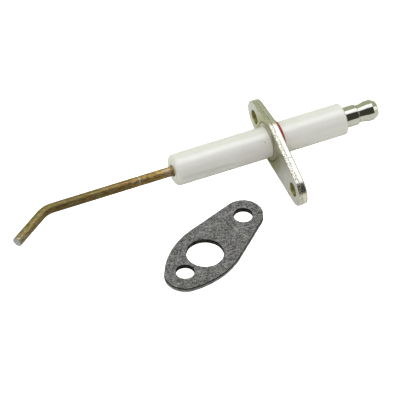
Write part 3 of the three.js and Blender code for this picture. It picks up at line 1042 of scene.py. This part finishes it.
def gasket_layer(node, materials, slot, inset, rough_side):
    """One layer of the gasket. rough_side is 1 or -1 for a facing whose top or bottom is fibrous, or 0.

    The materials are for its flat faces, its outer edge and the walls of its holes.
    """
    low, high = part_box(node)
    thick = high.z - low.z
    step = 0.35 * MM
    edge = [(inset + 0.05 * MM, 0.0), (inset, 0.15 * thick), (inset, 0.5 * thick), (inset, 0.85 * thick)]
    edge.append((inset + 0.05 * MM, thick))
    hole = [(inset + 0.05 * MM, 0.0), (inset, 0.2 * thick), (inset, 0.8 * thick), (inset + 0.05 * MM, thick)]
    outside = teardrop(
        GASKET_HALF_WIDTH, GASKET_SHORT_R, GASKET_LONG_R, step, GASKET_SHORT_CENTRE, GASKET_WAIST_R
    )
    loops = [(outside, edge)]
    loops += [(round_hole(u, v, radius, step), hole) for u, v, radius in GASKET_HOLES]
    flat_verts, faces = plate(loops, 0.4 * MM)
    along = Vector((math.cos(GASKET_TURN), math.sin(GASKET_TURN), 0))
    across = Vector((-math.sin(GASKET_TURN), math.cos(GASKET_TURN), 0))
    centre = Vector((*GASKET_CENTRE, low.z))
    verts = []
    for v in flat_verts:
        rough = 0.0
        if rough_side:
            rough = v.z / thick if rough_side > 0 else 1 - v.z / thick
        fuzz = noise.noise_vector(v / (0.45 * MM)) * 0.05 * MM
        fuzz = fuzz + noise.noise_vector(v / (1.6 * MM)) * 0.05 * MM
        lift = (noise.noise(v / (0.5 * MM)) - 0.6) * 0.05 * MM * rough
        v = v + Vector((fuzz.x, fuzz.y, 0)) * (1 if slot == "facing" else 0.4)
        point = centre + along * v.x + across * v.y + Vector((0, 0, v.z + lift * rough_side))
        nicked = 1 - (point.xy - Vector(GASKET_NICK)).length / NICK_R
        if slot == "facing" and nicked > 0:
            point -= along * NICK_DEPTH * nicked
        verts.append(point)

    holes = [
        (Vector(GASKET_CENTRE) + along.xy * u + across.xy * v, radius) for u, v, radius in GASKET_HOLES
    ]

    def choose(normal, centre):
        if abs(normal.z) > 0.6:
            return 0
        return 2 if any((centre.xy - hole).length < radius + 0.4 * MM for hole, radius in holes) else 1

    return finish_piece(
        node + "_piece", clamped(verts, node), faces, materials, "gasket", node, shade_angle=50,
        choose=choose,
    )


# ---------------------------------------------------------------- studio

def floor():
    half = 3.0
    mesh = bpy.data.meshes.new("floor")
    z = FLOOR_Z - 0.02 * MM
    corners = [(-half, -half, z), (half, -half, z), (half, half, z), (-half, half, z)]
    mesh.from_pydata(corners, [], [(0, 1, 2, 3)])
    mesh.materials.append(floor_material())
    piece = bpy.data.objects.new("floor", mesh)
    bpy.context.collection.objects.link(piece)


def area_light(name, place_at, target, width, depth, power, colour=(1, 1, 1)):
    data = bpy.data.lights.new(name, "AREA")
    data.shape = "RECTANGLE"
    data.size = width
    data.size_y = depth
    data.energy = power
    data.color = colour
    lamp = bpy.data.objects.new(name, data)
    lamp.location = place_at
    lamp.rotation_euler = (Vector(target) - Vector(place_at)).to_track_quat("-Z", "Y").to_euler()
    bpy.context.collection.objects.link(lamp)
    return lamp


def studio():
    """A wide softbox overhead, a soft fill, a small softbox beside the terminal, and an olive wall."""
    over = (0.06, 0.047)
    area_light("overhead", (*over, 0.50), (*over, 0.0), 1.5, 0.372, 2.2, (0.95, 0.97, 1.10))
    fill = area_light("fill", (-0.30, -0.75, 1.05), (0.0, 0.0, 0.0), 0.8, 0.8, 5.9, (1.03, 1.01, 0.93))
    fill.visible_glossy = False
    side = area_light("side", (0.94, -0.23, 0.25), (0.03, 0.0, 0.0), 0.42, 0.42, 0.7)
    side.visible_camera = False
    world = bpy.data.worlds.new("studio")
    world.use_nodes = True
    tree = world.node_tree
    background = tree.nodes["Background"]
    depth = coordinate(tree, add(tree, "TexCoord").outputs["Generated"], "Y")
    stops = [(0.25, (0.060, 0.060, 0.048)), (0.60, (0.42, 0.46, 0.32)), (1.0, (0.50, 0.55, 0.39))]
    room = ramp(tree, mapped(tree, depth, low=-0.35, high=0.35), stops)
    seen = add(tree, "LightPath").outputs["Is Camera Ray"]
    link(tree, mix(tree, seen, room, (1.0, 1.0, 1.0)), background, "Color")
    background.inputs["Strength"].default_value = 1.0
    bpy.context.scene.world = world
    bpy.context.scene.view_settings.view_transform = "Standard"


def camera():
    """A long lens far off, which sees the probe almost without perspective."""
    azimuth, elevation = math.radians(-23.4), math.radians(45.6)
    target = Vector((-23.9, -3.5, -12.5)) * MM
    back = Vector(
        (
            math.sin(azimuth) * math.cos(elevation),
            -math.cos(azimuth) * math.cos(elevation),
            math.sin(elevation),
        )
    )
    distance = 4.0
    data = bpy.data.cameras.new("camera")
    view_width = 122.0 * MM
    data.sensor_width = 36.0
    data.lens = data.sensor_width * distance / view_width
    data.clip_start, data.clip_end = 0.1, 50.0
    eye = bpy.data.objects.new("camera", data)
    eye.location = target + back * distance
    eye.rotation_euler = back.to_track_quat("Z", "Y").to_euler()
    bpy.context.collection.objects.link(eye)
    bpy.context.scene.camera = eye


def main():
    noise.seed_set(NOISE_SEED)
    plated = plated_material("zinc_plate", (0.70, 0.69, 0.60), 0.18, 0.34)
    ring_metal = plated_material("ring_metal", (0.60, 0.58, 0.48), 0.25, 0.5, mottle_mm=0.35, depth_mm=0.06)
    cement = cement_material()
    fibre = fibre_material()
    flame_rod(rod_material(), cut_steel_material())
    insulator(ceramic_material())
    cement_ring("front_cement", cement)
    cement_ring("rear_cement", cement)
    flange_plate(flange_face_material(), sheared_edge_material(), hole_wall_material())
    clamp_ring(ring_metal)
    seal_ring(silicone_material())
    terminal_washer(plated)
    terminal_nut(nickel_material())
    outer_edge = outer_edge_material()
    # The gasket's hole walls carry painted shade.
    hole_wall = painted_shade_hole_wall_material()
    gasket_layer("gasket_upper_facing", [fibre, outer_edge, hole_wall], "facing", 0.0, 1)
    gasket_layer("gasket_core", [plated, outer_edge, hole_wall], "core", CORE_INSET, 0)
    gasket_layer("gasket_lower_facing", [fibre, outer_edge, hole_wall], "facing", 0.0, -1)
    floor()
    studio()
    camera()


main()
